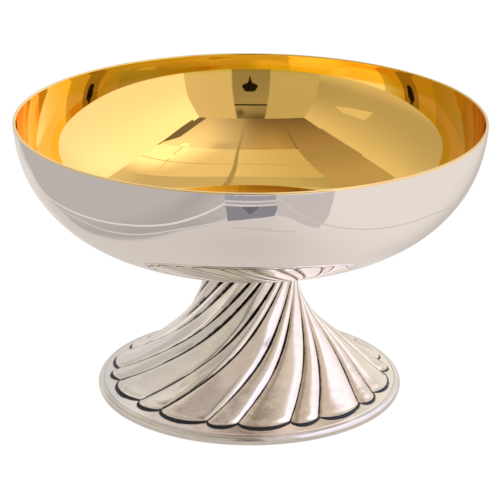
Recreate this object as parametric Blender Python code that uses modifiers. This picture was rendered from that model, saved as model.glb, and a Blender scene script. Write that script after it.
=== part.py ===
"""Footed paten: a plain polished bowl with a gilt inside, standing on a hollow
foot chased with spiral gadroons.  The foot is pulled up against the bowl by a
nut on a stud under the bowl, so the two come apart for replating.

Frame: +Z up, origin at the centre of the plane that the foot stands on.
Dimensions are in millimetres and are turned into metres by MM.
"""

import math

import bmesh
import bpy
from mathutils import Vector

MM = 0.001
GAP = 0.3                     # running, soldering and seating clearance

# ---- bowl -----------------------------------------------------------------
# Outside of the bowl as one smooth curve, rim first, radius and height.
BOWL_CURVE = ((80.0, 97.4), (79.65, 91.8), (78.11, 76.9), (74.28, 92.59), (84.86, 75.94),
              (63.32, 64.9), (64.52, 46.62), (27.44, 53.35), (0.0, 53.35))
BOWL_WALL = 1.1               # spun sheet
BOWL_ROWS = 11                # rings down each side of the wall
BOWL_STEPS = 64

# ---- foot -----------------------------------------------------------------
# Crests of the gadroons as one smooth curve, neck first, radius and height.
CREST_CURVE = ((15.1, 52.5), (15.6, 35.4), (18.1, 22.8),
               (28.4, 20.95), (42.4, 4.75), (48.8, 4.95))
PAIRS = 10                    # a wide and a narrow gadroon make one pair
WIDE_FOOT, WIDE_NECK = 22.9, 21.0   # degrees taken by the wide one
WIDE_CELLS, NARROW_CELLS = 5, 3     # facets across each gadroon
FIRST_GROOVE = -95.5          # azimuth of a groove at the scalloped edge
LEAN = ((15.0, 42.0), (19.0, 40.0), (23.0, 37.8), (28.0, 37.0),
        (34.0, 36.6), (40.0, 35.4), (44.0, 34.0), (49.0, 32.0))
#      radius and the grooves' lean from the meridian there, in degrees
GROOVE_DEPTH = 1.3
FOOT_WALL = 1.0               # under the grooves
SCALLOP = 2.6                 # how far a gadroon's round end stands forward
FOOT_ROWS = 13
LEDGE_RADIUS = 50.8           # outer edge of the plain ledge
LEDGE_HEIGHT = 3.05
LEDGE_SLOPE = 0.30
LEDGE_WALL = 1.1
NECK_BORE = 13.0

# ---- border ring under the foot's edge --------------------------------------
RING_RADIUS = 52.9
RING_INNER = 49.0
RING_TOP = 2.95

# ---- fastening inside the neck ----------------------------------------------
SEAT_RADIUS, SEAT_THICK = 12.2, 2.0
PLATE_RADIUS, PLATE_THICK = 12.65, 2.0
STUD_RADIUS = 3.0             # M6
STUD_END = 34.6               # height of the stud's free end
HOLE_RADIUS = 3.35
WASHER_RADIUS, WASHER_THICK = 6.2, 1.6
SPRING_RADIUS, SPRING_THICK, SPRING_SLOT = 5.6, 1.6, 1.0
NUT_FLATS, NUT_HEIGHT = 10.0, 5.0
STEPS_SMALL = 24

COLLECTION = "footed_paten"


# ---- scene ------------------------------------------------------------------
for old in list(bpy.data.objects):
    bpy.data.objects.remove(old, do_unlink=True)


def collection(name):
    made = bpy.data.collections.new(name)
    bpy.context.scene.collection.children.link(made)
    return made


PARTS = collection(COLLECTION)
CUTTERS = collection("cutters")


def principled(name, colour, roughness, metallic=1.0):
    mat = bpy.data.materials.new(name)
    mat.use_nodes = True
    node = mat.node_tree.nodes["Principled BSDF"]
    node.inputs["Base Color"].default_value = (*colour, 1.0)
    node.inputs["Roughness"].default_value = roughness
    node.inputs["Metallic"].default_value = metallic
    mat.diffuse_color = (*colour, 1.0)
    return mat


SILVER = principled("bright_silver_plate", (0.86, 0.83, 0.80), 0.04)
GILDING = principled("gilding", (0.95, 0.62, 0.20), 0.04)
ANTIQUE = principled("antiqued_silver_plate", (0.76, 0.72, 0.67), 0.16)
BORDER = principled("silver_border", (0.82, 0.78, 0.75), 0.10)
SEAT_BRASS = principled("seat_brass", (0.72, 0.55, 0.26), 0.28)
PLATE_BRASS = principled("plate_brass", (0.66, 0.52, 0.27), 0.35)
STUD_BRASS = principled("stud_brass", (0.75, 0.58, 0.28), 0.22)
WASHER_STEEL = principled("washer_steel", (0.60, 0.60, 0.61), 0.30)
SPRING_STEEL = principled("spring_steel", (0.35, 0.35, 0.37), 0.35)
NUT_BRASS = principled("nut_brass", (0.70, 0.54, 0.27), 0.25)


# ---- geometry helpers ---------------------------------------------------------
def on_curve(control, t):
    """Point at t on the curve that the control points span."""
    pts = [Vector(p) for p in control]
    while len(pts) > 1:
        pts = [a.lerp(b, t) for a, b in zip(pts, pts[1:])]
    return pts[0]


class Profile:
    """A curve measured by its length, with the normal on its left."""

    def __init__(self, control, samples=400):
        self.pts = [on_curve(control, i / samples) for i in range(samples + 1)]
        self.at = [0.0]
        for a, b in zip(self.pts, self.pts[1:]):
            self.at.append(self.at[-1] + (b - a).length)
        self.length = self.at[-1]

    def point(self, s):
        s = min(max(s, 0.0), self.length)
        i = next((k for k in range(1, len(self.at)) if self.at[k] >= s),
                 len(self.at) - 1)
        share = (s - self.at[i - 1]) / (self.at[i] - self.at[i - 1])
        return self.pts[i - 1].lerp(self.pts[i], share)

    def normal(self, s, side):
        step = self.length * 0.002
        run = self.point(s + step) - self.point(s - step)
        return Vector((run.y, -run.x)).normalized() * side


def between(table, x):
    """Straight-line reading of a table of (x, y) rows."""
    if x <= table[0][0]:
        return table[0][1]
    for (xa, ya), (xb, yb) in zip(table, table[1:]):
        if x <= xb:
            return ya + (yb - ya) * (x - xa) / (xb - xa)
    return table[-1][1]


def link(obj, mat, group=PARTS):
    group.objects.link(obj)
    if mat is not None:
        obj.data.materials.append(mat)
    return obj


def turned(name, profile, steps, mat, closed=True, group=PARTS):
    """A turned piece: the (radius, height) profile swept once round +Z."""
    mesh = bpy.data.meshes.new(name)
    bm = bmesh.new()
    verts = [bm.verts.new((r * MM, 0.0, z * MM)) for r, z in profile]
    for a, b in zip(verts, verts[1:]):
        bm.edges.new((a, b))
    if closed:
        bm.edges.new((verts[-1], verts[0]))
    bm.to_mesh(mesh)
    bm.free()
    obj = link(bpy.data.objects.new(name, mesh), mat, group)
    screw = obj.modifiers.new("turn", "SCREW")
    screw.axis = "Z"
    screw.angle = 2.0 * math.pi
    screw.steps = screw.render_steps = steps
    screw.screw_offset = 0.0
    screw.use_merge_vertices = True
    screw.merge_threshold = 0.00001
    screw.use_smooth_shade = True
    return obj


def made_mesh(obj):
    """The object with its modifiers worked into its own mesh."""
    bpy.context.view_layer.update()
    graph = bpy.context.evaluated_depsgraph_get()
    mesh = bpy.data.meshes.new_from_object(obj.evaluated_get(graph))
    name, mats = obj.name, list(obj.data.materials)
    groups = list(obj.users_collection)
    bpy.data.objects.remove(obj, do_unlink=True)
    mesh.name = name
    made = bpy.data.objects.new(name, mesh)
    for group in groups:
        group.objects.link(made)
    if not mesh.materials:
        for mat in mats:
            mesh.materials.append(mat)
    return made


def cutter(obj):
    obj.hide_render = True
    obj.display_type = "WIRE"
    return obj


def boolean(obj, tool, operation):
    mod = obj.modifiers.new(operation.lower(), "BOOLEAN")
    mod.operation = operation
    mod.solver = "EXACT"
    mod.object = tool


def cylinder(name, radius, low, high, steps, group=CUTTERS):
    mesh = bpy.data.meshes.new(name)
    bm = bmesh.new()
    bmesh.ops.create_cone(bm, cap_ends=True, segments=steps,
                          radius1=radius * MM, radius2=radius * MM,
                          depth=(high - low) * MM)
    bmesh.ops.translate(bm, verts=bm.verts,
                        vec=(0.0, 0.0, (high + low) / 2 * MM))
    bm.to_mesh(mesh)
    bm.free()
    obj = bpy.data.objects.new(name, mesh)
    group.objects.link(obj)
    return obj


def chamfered_ring(inner, outer, low, high, cut):
    """Section of a flat ring whose outer corners are broken."""
    return [(inner, high), (outer - cut, high), (outer, high - cut),
            (outer, low + cut), (outer - cut, low), (inner, low)]


# ---- bowl: spun in one piece, wall offset inwards from the outer curve ----------
def make_bowl():
    outside = Profile(BOWL_CURVE)
    lip = BOWL_WALL / 2
    down, up = [], []
    for i in range(BOWL_ROWS + 1):
        # rings crowd together near the rim, where the wall turns upright
        s = outside.length * (1.0 - (1.0 - i / BOWL_ROWS) ** 0.9)
        s = max(s, lip * 0.8)
        p = outside.point(s)
        n = outside.normal(s, 1.0)          # towards the inside of the bowl
        q = p + n * BOWL_WALL
        down.append((p.x, p.y))
        up.append((q.x, q.y))
    down[-1] = (0.0, down[-1][1])
    up[-1] = (0.0, down[-1][1] + BOWL_WALL)
    rim_r, rim_z = BOWL_CURVE[0]
    crown = [(rim_r - lip * 1.6, rim_z - lip * 0.28),
             (rim_r - lip, rim_z),
             (rim_r - lip * 0.4, rim_z - lip * 0.28)]
    bowl = turned("bowl", list(reversed(up)) + crown + down,
                  BOWL_STEPS, SILVER, closed=False)
    bowl = made_mesh(bowl)
    bowl.data.materials.append(GILDING)
    for face in bowl.data.polygons:
        radial = Vector((face.center.x, face.center.y, 0.0))
        inward = face.normal.dot(radial.normalized()) < -0.02
        face.material_index = 1 if (face.normal.z > 0.9 or inward) else 0
    return bowl


# ---- foot: a turned blank, then its outside chased into gadroons ------------------
CREST = Profile(CREST_CURVE)
GROOVE_END = CREST.length - SCALLOP


def twist_table(samples=160):
    """Turn of the grooves, in radians, from their lower ends up to each arc."""
    step = CREST.length / samples
    turn, table = 0.0, []
    for i in range(samples, -1, -1):
        s = i * step
        table.append((s, turn))
        radius = CREST.point(max(s - step / 2, 0.0)).x
        turn += step * math.tan(math.radians(between(LEAN, radius))) / radius
    table.reverse()
    at_end = between(table, GROOVE_END)
    return [(s, t - at_end) for s, t in table]


TWIST = twist_table()


def gadroon(column, share):
    """Azimuth and place across its gadroon of a blank's column.

    share runs from 0 at the scalloped edge to 1 at the neck."""
    cells = WIDE_CELLS + NARROW_CELLS
    pair, cell = divmod(column, cells)
    wide = WIDE_FOOT + (WIDE_NECK - WIDE_FOOT) * share
    if cell <= WIDE_CELLS:
        u = cell / WIDE_CELLS
        angle = wide * u
    else:
        u = (cell - WIDE_CELLS) / NARROW_CELLS
        angle = wide + (360.0 / PAIRS - wide) * u
    return math.radians(FIRST_GROOVE + pair * 360.0 / PAIRS + angle), u % 1.0


def crown(u):
    """Height of a gadroon's round back, 0 in the grooves and 1 on the crest."""
    return math.sin(math.pi * u) ** 0.55


def ledge(radius):
    return LEDGE_HEIGHT + LEDGE_SLOPE * (LEDGE_RADIUS - radius)


def outer_row(row, column):
    """Radius, height and azimuth of the chased outside."""
    v = row / FOOT_ROWS
    angle, u = gadroon(column, 1.0 - v)
    tongue = SCALLOP * (1.0 - (2.0 * u - 1.0) ** 2) ** 0.85
    forward = max(0.0, (v - 0.7) / 0.3) ** 2
    s = GROOVE_END * v + forward * tongue
    out = CREST.normal(s, -1.0)
    p = CREST.point(s) - out * GROOVE_DEPTH * (1.0 - crown(u))
    return p.x, p.y, angle + between(TWIST, s)


def make_foot():
    offset = GROOVE_DEPTH + FOOT_WALL
    rows = [CREST.point(GROOVE_END * i / FOOT_ROWS) for i in range(FOOT_ROWS + 1)]
    outside = [(p.x, p.y) for p in rows]
    base_r = outside[-1][0]
    flange = [(base_r + 0.3, ledge(base_r + 0.3)),        # foot of the end walls
              (49.9, ledge(49.9)),
              (LEDGE_RADIUS - 0.15, ledge(LEDGE_RADIUS - 0.15)),
              (LEDGE_RADIUS, ledge(LEDGE_RADIUS) - 0.15),
              (LEDGE_RADIUS, ledge(LEDGE_RADIUS) - LEDGE_WALL),
              (48.4, ledge(48.4) - LEDGE_WALL),
              (45.6, ledge(45.6) - LEDGE_WALL)]
    inside, inside_arc = [], []
    for share in (0.93, 0.85, 0.76, 0.67, 0.57, 0.46, 0.34):
        s = GROOVE_END * share
        p = CREST.point(s) - CREST.normal(s, -1.0) * offset
        if p.x > NECK_BORE + 0.2:
            inside.append((p.x, p.y))
            inside_arc.append(s)
    # the bore's rings turn with the grooves, so they stand close together
    for height in (37.5, 40.5, 43.5, 46.5, 49.5, CREST_CURVE[0][1]):
        inside.append((NECK_BORE, height))
        inside_arc.append(next(s for s in (GROOVE_END * k / 200 for k in range(200, -1, -1))
                               if CREST.point(s).y >= height - 0.01))
    profile = outside + flange + inside
    columns = PAIRS * (WIDE_CELLS + NARROW_CELLS)
    blank = made_mesh(turned("foot", profile, columns, ANTIQUE))

    count = len(profile)
    for vert in blank.data.vertices:
        place = vert.index % count
        turn = math.atan2(vert.co.y, vert.co.x) % (2.0 * math.pi)
        column = round(turn / (2.0 * math.pi) * columns) % columns
        radius = math.hypot(vert.co.x, vert.co.y) / MM
        height = vert.co.z / MM
        was = profile[place]
        assert abs(was[0] - radius) + abs(was[1] - height) < 0.01
        if place <= FOOT_ROWS:
            radius, height, angle = outer_row(place, column)
        elif place == FOOT_ROWS + 1:
            radius, height, angle = outer_row(FOOT_ROWS, column)
            radius += 0.25
            height = ledge(radius)
        elif place < FOOT_ROWS + 1 + len(flange):
            angle = gadroon(column, 0.0)[0]
        else:
            s = inside_arc[place - FOOT_ROWS - 1 - len(flange)]
            angle = gadroon(column, 1.0 - s / GROOVE_END)[0] + between(TWIST, s)
        vert.co = (radius * MM * math.cos(angle), radius * MM * math.sin(angle),
                   height * MM)
    for face in blank.data.polygons:
        face.use_smooth = True
    blank.data.set_sharp_from_angle(angle=math.radians(38.0))
    return blank


# ---- border ring: moulded, rebated for the foot's ledge ---------------------------
def make_border_ring():
    step = LEDGE_RADIUS + GAP
    profile = [(step, RING_TOP - 0.1), (step + 0.25, RING_TOP),
               (52.0, 2.75), (52.5, 2.3), (52.82, 1.6),
               (RING_RADIUS, 0.9), (RING_RADIUS - 0.05, 0.25),
               (RING_RADIUS - 0.35, 0.0), (RING_INNER, 0.0),
               (RING_INNER, 2.05), (step, 1.55)]
    return turned("border_ring", profile, BOWL_STEPS, BORDER)


# ---- fastening ----------------------------------------------------------------------
def bowl_under(radius):
    outside = Profile(BOWL_CURVE)
    return min(p.y for p in outside.pts if p.x <= radius + 1.0)


SEAT_TOP = bowl_under(SEAT_RADIUS) - GAP
SEAT_LOW = SEAT_TOP - SEAT_THICK
PLATE_TOP = SEAT_LOW - GAP
PLATE_LOW = PLATE_TOP - PLATE_THICK
WASHER_TOP = PLATE_LOW - GAP
WASHER_LOW = WASHER_TOP - WASHER_THICK
SPRING_TOP = WASHER_LOW - GAP
SPRING_LOW = SPRING_TOP - SPRING_THICK
NUT_TOP = SPRING_LOW - GAP
NUT_LOW = NUT_TOP - NUT_HEIGHT


def make_seat():
    return turned("seat_flange", chamfered_ring(
        HOLE_RADIUS, SEAT_RADIUS, SEAT_LOW, SEAT_TOP, 0.35), 32, SEAT_BRASS)


def make_plate():
    return turned("neck_plate", chamfered_ring(
        HOLE_RADIUS + 0.1, PLATE_RADIUS, PLATE_LOW, PLATE_TOP, 0.2), 32, PLATE_BRASS)


def make_stud():
    high = SEAT_TOP - 0.3
    cut = 0.6
    profile = [(0.0, high), (STUD_RADIUS - 0.2, high), (STUD_RADIUS, high - 0.2),
               (STUD_RADIUS, STUD_END + cut), (STUD_RADIUS - cut, STUD_END),
               (0.0, STUD_END)]
    return turned("stud", profile, STEPS_SMALL, STUD_BRASS, closed=False)


def make_washer():
    return turned("plain_washer", chamfered_ring(
        HOLE_RADIUS, WASHER_RADIUS, WASHER_LOW, WASHER_TOP, 0.25),
        STEPS_SMALL, WASHER_STEEL)


def make_spring_washer():
    ring = made_mesh(turned("spring_washer", [
        (HOLE_RADIUS, SPRING_TOP), (SPRING_RADIUS, SPRING_TOP),
        (SPRING_RADIUS, SPRING_LOW), (HOLE_RADIUS, SPRING_LOW)],
        STEPS_SMALL, SPRING_STEEL))
    mesh = bpy.data.meshes.new("spring_slot")
    bm = bmesh.new()
    bmesh.ops.create_cube(bm, size=1.0)
    bmesh.ops.scale(bm, verts=bm.verts,
                    vec=(8.0 * MM, SPRING_SLOT * MM, 6.0 * MM))
    bm.to_mesh(mesh)
    bm.free()
    slot = bpy.data.objects.new("spring_slot", mesh)
    CUTTERS.objects.link(slot)
    turn = math.radians(50.0)
    slot.rotation_euler = (math.radians(25.0), 0.0, turn)
    mid = (HOLE_RADIUS + SPRING_RADIUS) / 2 * MM
    slot.location = (mid * math.cos(turn), mid * math.sin(turn),
                     (SPRING_TOP + SPRING_LOW) / 2 * MM)
    boolean(ring, cutter(slot), "DIFFERENCE")
    return ring


def make_nut():
    nut = cylinder("hex_nut", NUT_FLATS / math.sqrt(3.0), NUT_LOW, NUT_TOP, 6, PARTS)
    nut.data.materials.append(NUT_BRASS)
    corner = NUT_FLATS / math.sqrt(3.0)
    turned_form = turned("nut_chamfer", [
        (0.0, NUT_TOP + 0.01), (corner - 0.75, NUT_TOP + 0.01),
        (corner + 0.6, NUT_TOP - 0.75), (corner + 0.6, NUT_LOW + 0.75),
        (corner - 0.75, NUT_LOW - 0.01), (0.0, NUT_LOW - 0.01)],
        STEPS_SMALL, None, closed=False, group=CUTTERS)
    turned_form = cutter(made_mesh(turned_form))
    boolean(nut, turned_form, "INTERSECT")
    bore = cylinder("nut_bore", HOLE_RADIUS, NUT_LOW - 2.0, NUT_TOP + 2.0, STEPS_SMALL)
    boolean(nut, cutter(bore), "DIFFERENCE")
    return nut


make_bowl()
make_foot()
make_border_ring()
make_seat()
make_plate()
make_stud()
make_washer()
make_spring_washer()
make_nut()
bpy.context.view_layer.update()
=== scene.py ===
"""Looks of the footed paten: a mirror-polished bowl, gilt inside, on a chased and
antiqued silver foot, in a plain white tent with soft panels.

Everything is in metres in the CAD's own frame; MM turns millimetres into metres.
"""

import math

import bpy
import numpy as np
from mathutils import Matrix, Vector, noise


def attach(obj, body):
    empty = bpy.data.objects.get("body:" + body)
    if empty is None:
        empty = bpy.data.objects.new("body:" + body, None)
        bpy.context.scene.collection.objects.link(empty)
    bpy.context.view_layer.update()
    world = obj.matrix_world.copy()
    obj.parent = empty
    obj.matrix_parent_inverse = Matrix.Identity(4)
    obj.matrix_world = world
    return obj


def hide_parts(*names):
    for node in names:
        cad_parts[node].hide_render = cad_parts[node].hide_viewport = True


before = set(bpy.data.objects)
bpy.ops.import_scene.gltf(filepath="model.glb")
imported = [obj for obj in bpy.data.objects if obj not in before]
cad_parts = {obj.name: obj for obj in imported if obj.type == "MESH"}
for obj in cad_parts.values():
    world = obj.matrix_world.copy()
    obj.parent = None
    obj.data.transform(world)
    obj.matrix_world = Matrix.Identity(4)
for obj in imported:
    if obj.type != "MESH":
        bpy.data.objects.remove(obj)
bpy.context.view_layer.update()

MM = 0.001
TAU = 2.0 * math.pi

# ---- dimensions shared with the CAD ------------------------------------------
BOWL_CURVE = ((79.95, 97.4), (79.62, 91.8), (78.11, 76.9), (74.28, 92.59), (84.86, 75.94),
              (63.32, 64.9), (64.52, 46.62), (27.44, 53.35), (0.0, 53.35))
BOWL_WALL = 1.1
CREST_CURVE = ((15.1, 52.5), (15.6, 35.4), (18.1, 22.8),
               (28.4, 20.95), (42.4, 4.75), (48.8, 4.95))
PAIRS = 10
WIDE_FOOT, WIDE_NECK = 22.9, 21.0
FIRST_GROOVE = -95.5
LEAN = ((15.0, 42.0), (19.0, 40.0), (23.0, 37.8), (28.0, 37.0),
        (34.0, 36.6), (40.0, 35.4), (44.0, 34.0), (49.0, 32.0))
GROOVE_DEPTH = 1.3
SCALLOP = 2.6
LEDGE_RADIUS, LEDGE_HEIGHT, LEDGE_SLOPE = 50.8, 3.05, 0.30
RING_RADIUS = 52.88
NECK_BORE = 13.0
HAND_WANDER = (0.3, -0.2, 0.0, 0.5, 0.0, 0.3, 0.0, 0.2, -0.2, 0.9,
               1.2, 1.3, 0.4, -0.4, 0.3, 0.0, -0.3, 0.2, 0.4, 0.5)
#             how far the chaser's hand strayed at each groove, in degrees


# ---- small numeric helpers ------------------------------------------------------
def bezier(control, count):
    pts = np.array(control, float)
    n = len(pts) - 1
    t = np.linspace(0.0, 1.0, count)[:, None]
    return sum(math.comb(n, i) * (1 - t) ** (n - i) * t ** i * pts[i]
               for i in range(n + 1))


class Profile:
    """Curve in the (radius, height) plane read by its own length."""

    def __init__(self, control, side):
        self.pts = bezier(control, 1600)
        step = np.linalg.norm(np.diff(self.pts, axis=0), axis=1)
        self.at = np.concatenate([[0.0], np.cumsum(step)])
        self.length = self.at[-1]
        run = np.gradient(self.pts, self.at, axis=0)
        run /= np.linalg.norm(run, axis=1)[:, None]
        self.nrm = np.stack([run[:, 1], -run[:, 0]], -1) * side

    def point(self, s):
        return np.stack([np.interp(s, self.at, self.pts[:, k]) for k in (0, 1)], -1)

    def normal(self, s):
        n = np.stack([np.interp(s, self.at, self.nrm[:, k]) for k in (0, 1)], -1)
        return n / np.linalg.norm(n, axis=-1, keepdims=True)


def smoothstep(a, b, x):
    t = np.clip((x - a) / (b - a), 0.0, 1.0)
    return t * t * (3.0 - 2.0 * t)


def wave_noise(x, seed):
    """Smooth unseeded-free wobble in -1..1, made of a few fixed sine waves."""
    out = np.zeros_like(x)
    for k, (f, p, a) in enumerate(((1.0, 0.3, 0.5), (2.3, 1.7, 0.3), (5.1, 4.1, 0.2))):
        out += a * np.sin(f * x + p * (seed + 1.0) * 2.399)
    return out


# ---- mesh helpers -----------------------------------------------------------------
def make_object(name, verts, faces, mats, face_mats=None, sharp=None):
    mesh = bpy.data.meshes.new(name)
    mesh.from_pydata([tuple(v) for v in (np.asarray(verts) * MM).tolist()], [], faces)
    for mat in mats:
        mesh.materials.append(mat)
    if face_mats is not None:
        mesh.polygons.foreach_set("material_index", face_mats)
    mesh.shade_smooth()
    if sharp is not None:
        mesh.set_sharp_from_angle(angle=math.radians(sharp))
    mesh.update()
    obj = bpy.data.objects.new(name, mesh)
    bpy.context.scene.collection.objects.link(obj)
    return obj


def band_faces(rows, cols, first=0, wrap_rows=False, flip=False):
    """Quads of a grid of rows closed round its columns."""
    faces = []
    for i in range(rows if wrap_rows else rows - 1):
        a, b = first + i * cols, first + ((i + 1) % rows) * cols
        for j in range(cols):
            k = (j + 1) % cols
            quad = (a + j, a + k, b + k, b + j)
            faces.append(quad[::-1] if flip else quad)
    return faces


def turned(name, profile, steps, mats, sharp=40.0, row_mats=None):
    """Closed turned piece. The profile runs so that its solid lies on its left
    when radius points right and height points up; radius 0 ends are poles."""
    profile = np.asarray(profile, float)
    start_pole, end_pole = profile[0, 0] < 1e-6, profile[-1, 0] < 1e-6
    body = profile[1 if start_pole else 0:len(profile) - (1 if end_pole else 0)]
    angle = np.linspace(0.0, TAU, steps, endpoint=False)
    ring = np.stack([np.cos(angle), np.sin(angle)], -1)
    verts = np.concatenate([
        body[:, None, 0:1] * ring[None],
        np.repeat(body[:, 1][:, None, None], steps, 1)], -1).reshape(-1, 3)
    closed = not (start_pole or end_pole)
    faces = band_faces(len(body), steps, wrap_rows=closed)
    mats_of = [row_mats(*(body[i] + body[(i + 1) % len(body)]) / 2) if row_mats else 0
               for i in range(len(body) if closed else len(body) - 1)
               for _ in range(steps)]
    extra = []
    if start_pole:
        extra.append((0.0, 0.0, profile[0, 1]))
        p = len(verts)
        faces += [(p, (j + 1) % steps, j) for j in range(steps)]
        mats_of += [mats_of[0] if mats_of else 0] * steps
    if end_pole:
        p = len(verts) + len(extra)
        extra.append((0.0, 0.0, profile[-1, 1]))
        base = (len(body) - 1) * steps
        faces += [(p, base + j, base + (j + 1) % steps) for j in range(steps)]
        mats_of += [mats_of[-1] if mats_of else 0] * steps
    if extra:
        verts = np.concatenate([verts, np.array(extra)])
    return make_object(name, verts, faces, mats, mats_of, sharp)


def set_attribute(obj, name, values):
    att = obj.data.attributes.new(name, "FLOAT", "POINT")
    att.data.foreach_set("value", np.asarray(values, np.float32))


# ---- materials ----------------------------------------------------------------------
class Nodes:
    """Short hand for building one material's node tree."""

    def __init__(self, name):
        self.mat = bpy.data.materials.new(name)
        self.mat.use_nodes = True
        self.tree = self.mat.node_tree
        self.bsdf = self.tree.nodes["Principled BSDF"]

    def add(self, kind, **props):
        node = self.tree.nodes.new(kind)
        for key, value in props.items():
            setattr(node, key, value)
        return node

    def link(self, out, to):
        self.tree.links.new(out, to)

    def put(self, socket, value):
        if isinstance(value, bpy.types.NodeSocket):
            self.link(value, socket)
        else:
            socket.default_value = value

    def coords(self, scale=(1.0, 1.0, 1.0)):
        tex = self.add("ShaderNodeTexCoord")
        mapping = self.add("ShaderNodeMapping")
        mapping.inputs["Scale"].default_value = scale
        self.link(tex.outputs["Object"], mapping.inputs["Vector"])
        return mapping.outputs["Vector"]

    def noise(self, vector, scale, detail=3.0, rough=0.55, distort=0.0):
        node = self.add("ShaderNodeTexNoise")
        self.link(vector, node.inputs["Vector"])
        node.inputs["Scale"].default_value = scale
        node.inputs["Detail"].default_value = detail
        node.inputs["Roughness"].default_value = rough
        node.inputs["Distortion"].default_value = distort
        return node.outputs["Fac"]

    def math(self, op, a, b=0.0, c=0.0, clamp=False):
        node = self.add("ShaderNodeMath", operation=op, use_clamp=clamp)
        for socket, value in zip(node.inputs, (a, b, c)):
            self.put(socket, value)
        return node.outputs[0]

    def spread(self, value, low, high, to_low=0.0, to_high=1.0, smooth=True):
        node = self.add("ShaderNodeMapRange", clamp=True)
        node.interpolation_type = "SMOOTHSTEP" if smooth else "LINEAR"
        for key, v in (("Value", value), ("From Min", low), ("From Max", high),
                       ("To Min", to_low), ("To Max", to_high)):
            self.put(node.inputs[key], v)
        return node.outputs["Result"]

    def mix(self, fac, a, b, blend="MIX"):
        node = self.add("ShaderNodeMix", data_type="RGBA", blend_type=blend)
        self.put(node.inputs[0], fac)
        for socket, value in ((node.inputs[6], a), (node.inputs[7], b)):
            if isinstance(value, tuple):
                value = (*value, 1.0) if len(value) == 3 else value
            self.put(socket, value)
        return node.outputs[2]

    def attribute(self, name):
        return self.add("ShaderNodeAttribute", attribute_name=name).outputs["Fac"]

    def bump(self, height, distance, strength=1.0, normal=None):
        node = self.add("ShaderNodeBump")
        node.inputs["Strength"].default_value = strength
        node.inputs["Distance"].default_value = distance
        self.link(height, node.inputs["Height"])
        if normal is not None:
            self.link(normal, node.inputs["Normal"])
        return node.outputs["Normal"]

    def polar(self):
        """Radius and height of the point, in metres, for lathe marks."""
        tex = self.add("ShaderNodeTexCoord")
        xyz = self.add("ShaderNodeSeparateXYZ")
        self.link(tex.outputs["Object"], xyz.inputs[0])
        rr = self.math("SQRT", self.math(
            "ADD", self.math("MULTIPLY", xyz.outputs[0], xyz.outputs[0]),
            self.math("MULTIPLY", xyz.outputs[1], xyz.outputs[1])))
        return rr, xyz.outputs[2]


def lathe_lines(n, pitch, wobble=0.3):
    """Fine closed rings left by spinning and by the polishing mop, 0..1."""
    rr, zz = n.polar()
    both = n.add("ShaderNodeCombineXYZ")
    n.link(rr, both.inputs[0])
    n.link(zz, both.inputs[1])
    around = n.noise(n.coords((8.0, 8.0, 8.0)), 6.0, 2.0)
    n.put(both.inputs[2], n.math("MULTIPLY", around, wobble * 0.01))
    return n.noise(both.outputs[0], 1.0 / pitch, 4.0, 0.65)


def mirror_silver():
    n = Nodes("mirror_silver_plate")
    b = n.bsdf
    b.inputs["Metallic"].default_value = 1.0
    smear = n.noise(n.coords((1.0, 1.0, 2.2)), 34.0, 4.0, 0.6, 0.6)
    cloud = n.noise(n.coords(), 11.0, 2.0, 0.5, 0.3)
    tone = n.mix(n.spread(cloud, 0.35, 0.7), (0.945, 0.915, 0.895), (0.925, 0.893, 0.868))
    n.link(tone, b.inputs["Base Color"])
    lines = lathe_lines(n, 0.0006)
    rough = n.math("ADD", n.spread(smear, 0.42, 0.75, 0.022, 0.050),
                   n.math("MULTIPLY", lines, 0.012))
    n.link(rough, b.inputs["Roughness"])
    n.link(n.bump(lines, 0.0000012, 0.35), b.inputs["Normal"])
    return n.mat


def mirror_gold():
    """Gilding. Near the rim its tint is set place by place as painted reflection colour: pale at the
    left end, orange at the right end and deeper orange round the front and back.
    """
    n = Nodes("mirror_gilding")
    b = n.bsdf
    b.inputs["Metallic"].default_value = 1.0
    cloud = n.noise(n.coords(), 9.0, 3.0, 0.55, 0.4)
    floor = n.mix(n.spread(cloud, 0.3, 0.7), (1.0, 0.655, 0.195), (0.985, 0.630, 0.170))
    tex = n.add("ShaderNodeTexCoord")
    xyz = n.add("ShaderNodeSeparateXYZ")
    n.link(tex.outputs["Object"], xyz.inputs[0])
    radius, height = n.polar()
    across = n.math("DIVIDE", n.math("ABSOLUTE", xyz.outputs[1]), radius)
    # painted reflection colour for the rim band, set by place round the bowl
    ends = n.mix(n.spread(xyz.outputs[0], -0.02, 0.02), (0.93, 0.94, 0.63), (0.82, 0.62, 0.21))
    sides = n.spread(across, 0.20, 0.60)
    middle = n.mix(n.spread(xyz.outputs[0], 0.030, 0.037), (0.90, 0.60, 0.070),
                   (0.93, 0.41, 0.018))
    middle = n.mix(n.spread(xyz.outputs[0], 0.045, 0.056), middle, (0.86, 0.53, 0.040))
    rim = n.mix(sides, ends, middle)
    start = n.math("MULTIPLY_ADD", sides, 0.0095, 0.0805)
    tone = n.mix(n.spread(n.math("SUBTRACT", height, start), 0.0, 0.0016), floor, rim)
    n.link(tone, b.inputs["Base Color"])
    lines = lathe_lines(n, 0.0007)
    smear = n.noise(n.coords((1.0, 1.0, 1.6)), 41.0, 4.0, 0.6, 0.5)
    rough = n.math("ADD", n.spread(smear, 0.42, 0.75, 0.020, 0.045),
                   n.math("MULTIPLY", lines, 0.010))
    n.link(rough, b.inputs["Roughness"])
    n.link(n.bump(lines, 0.0000010, 0.3), b.inputs["Normal"])
    return n.mat


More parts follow.
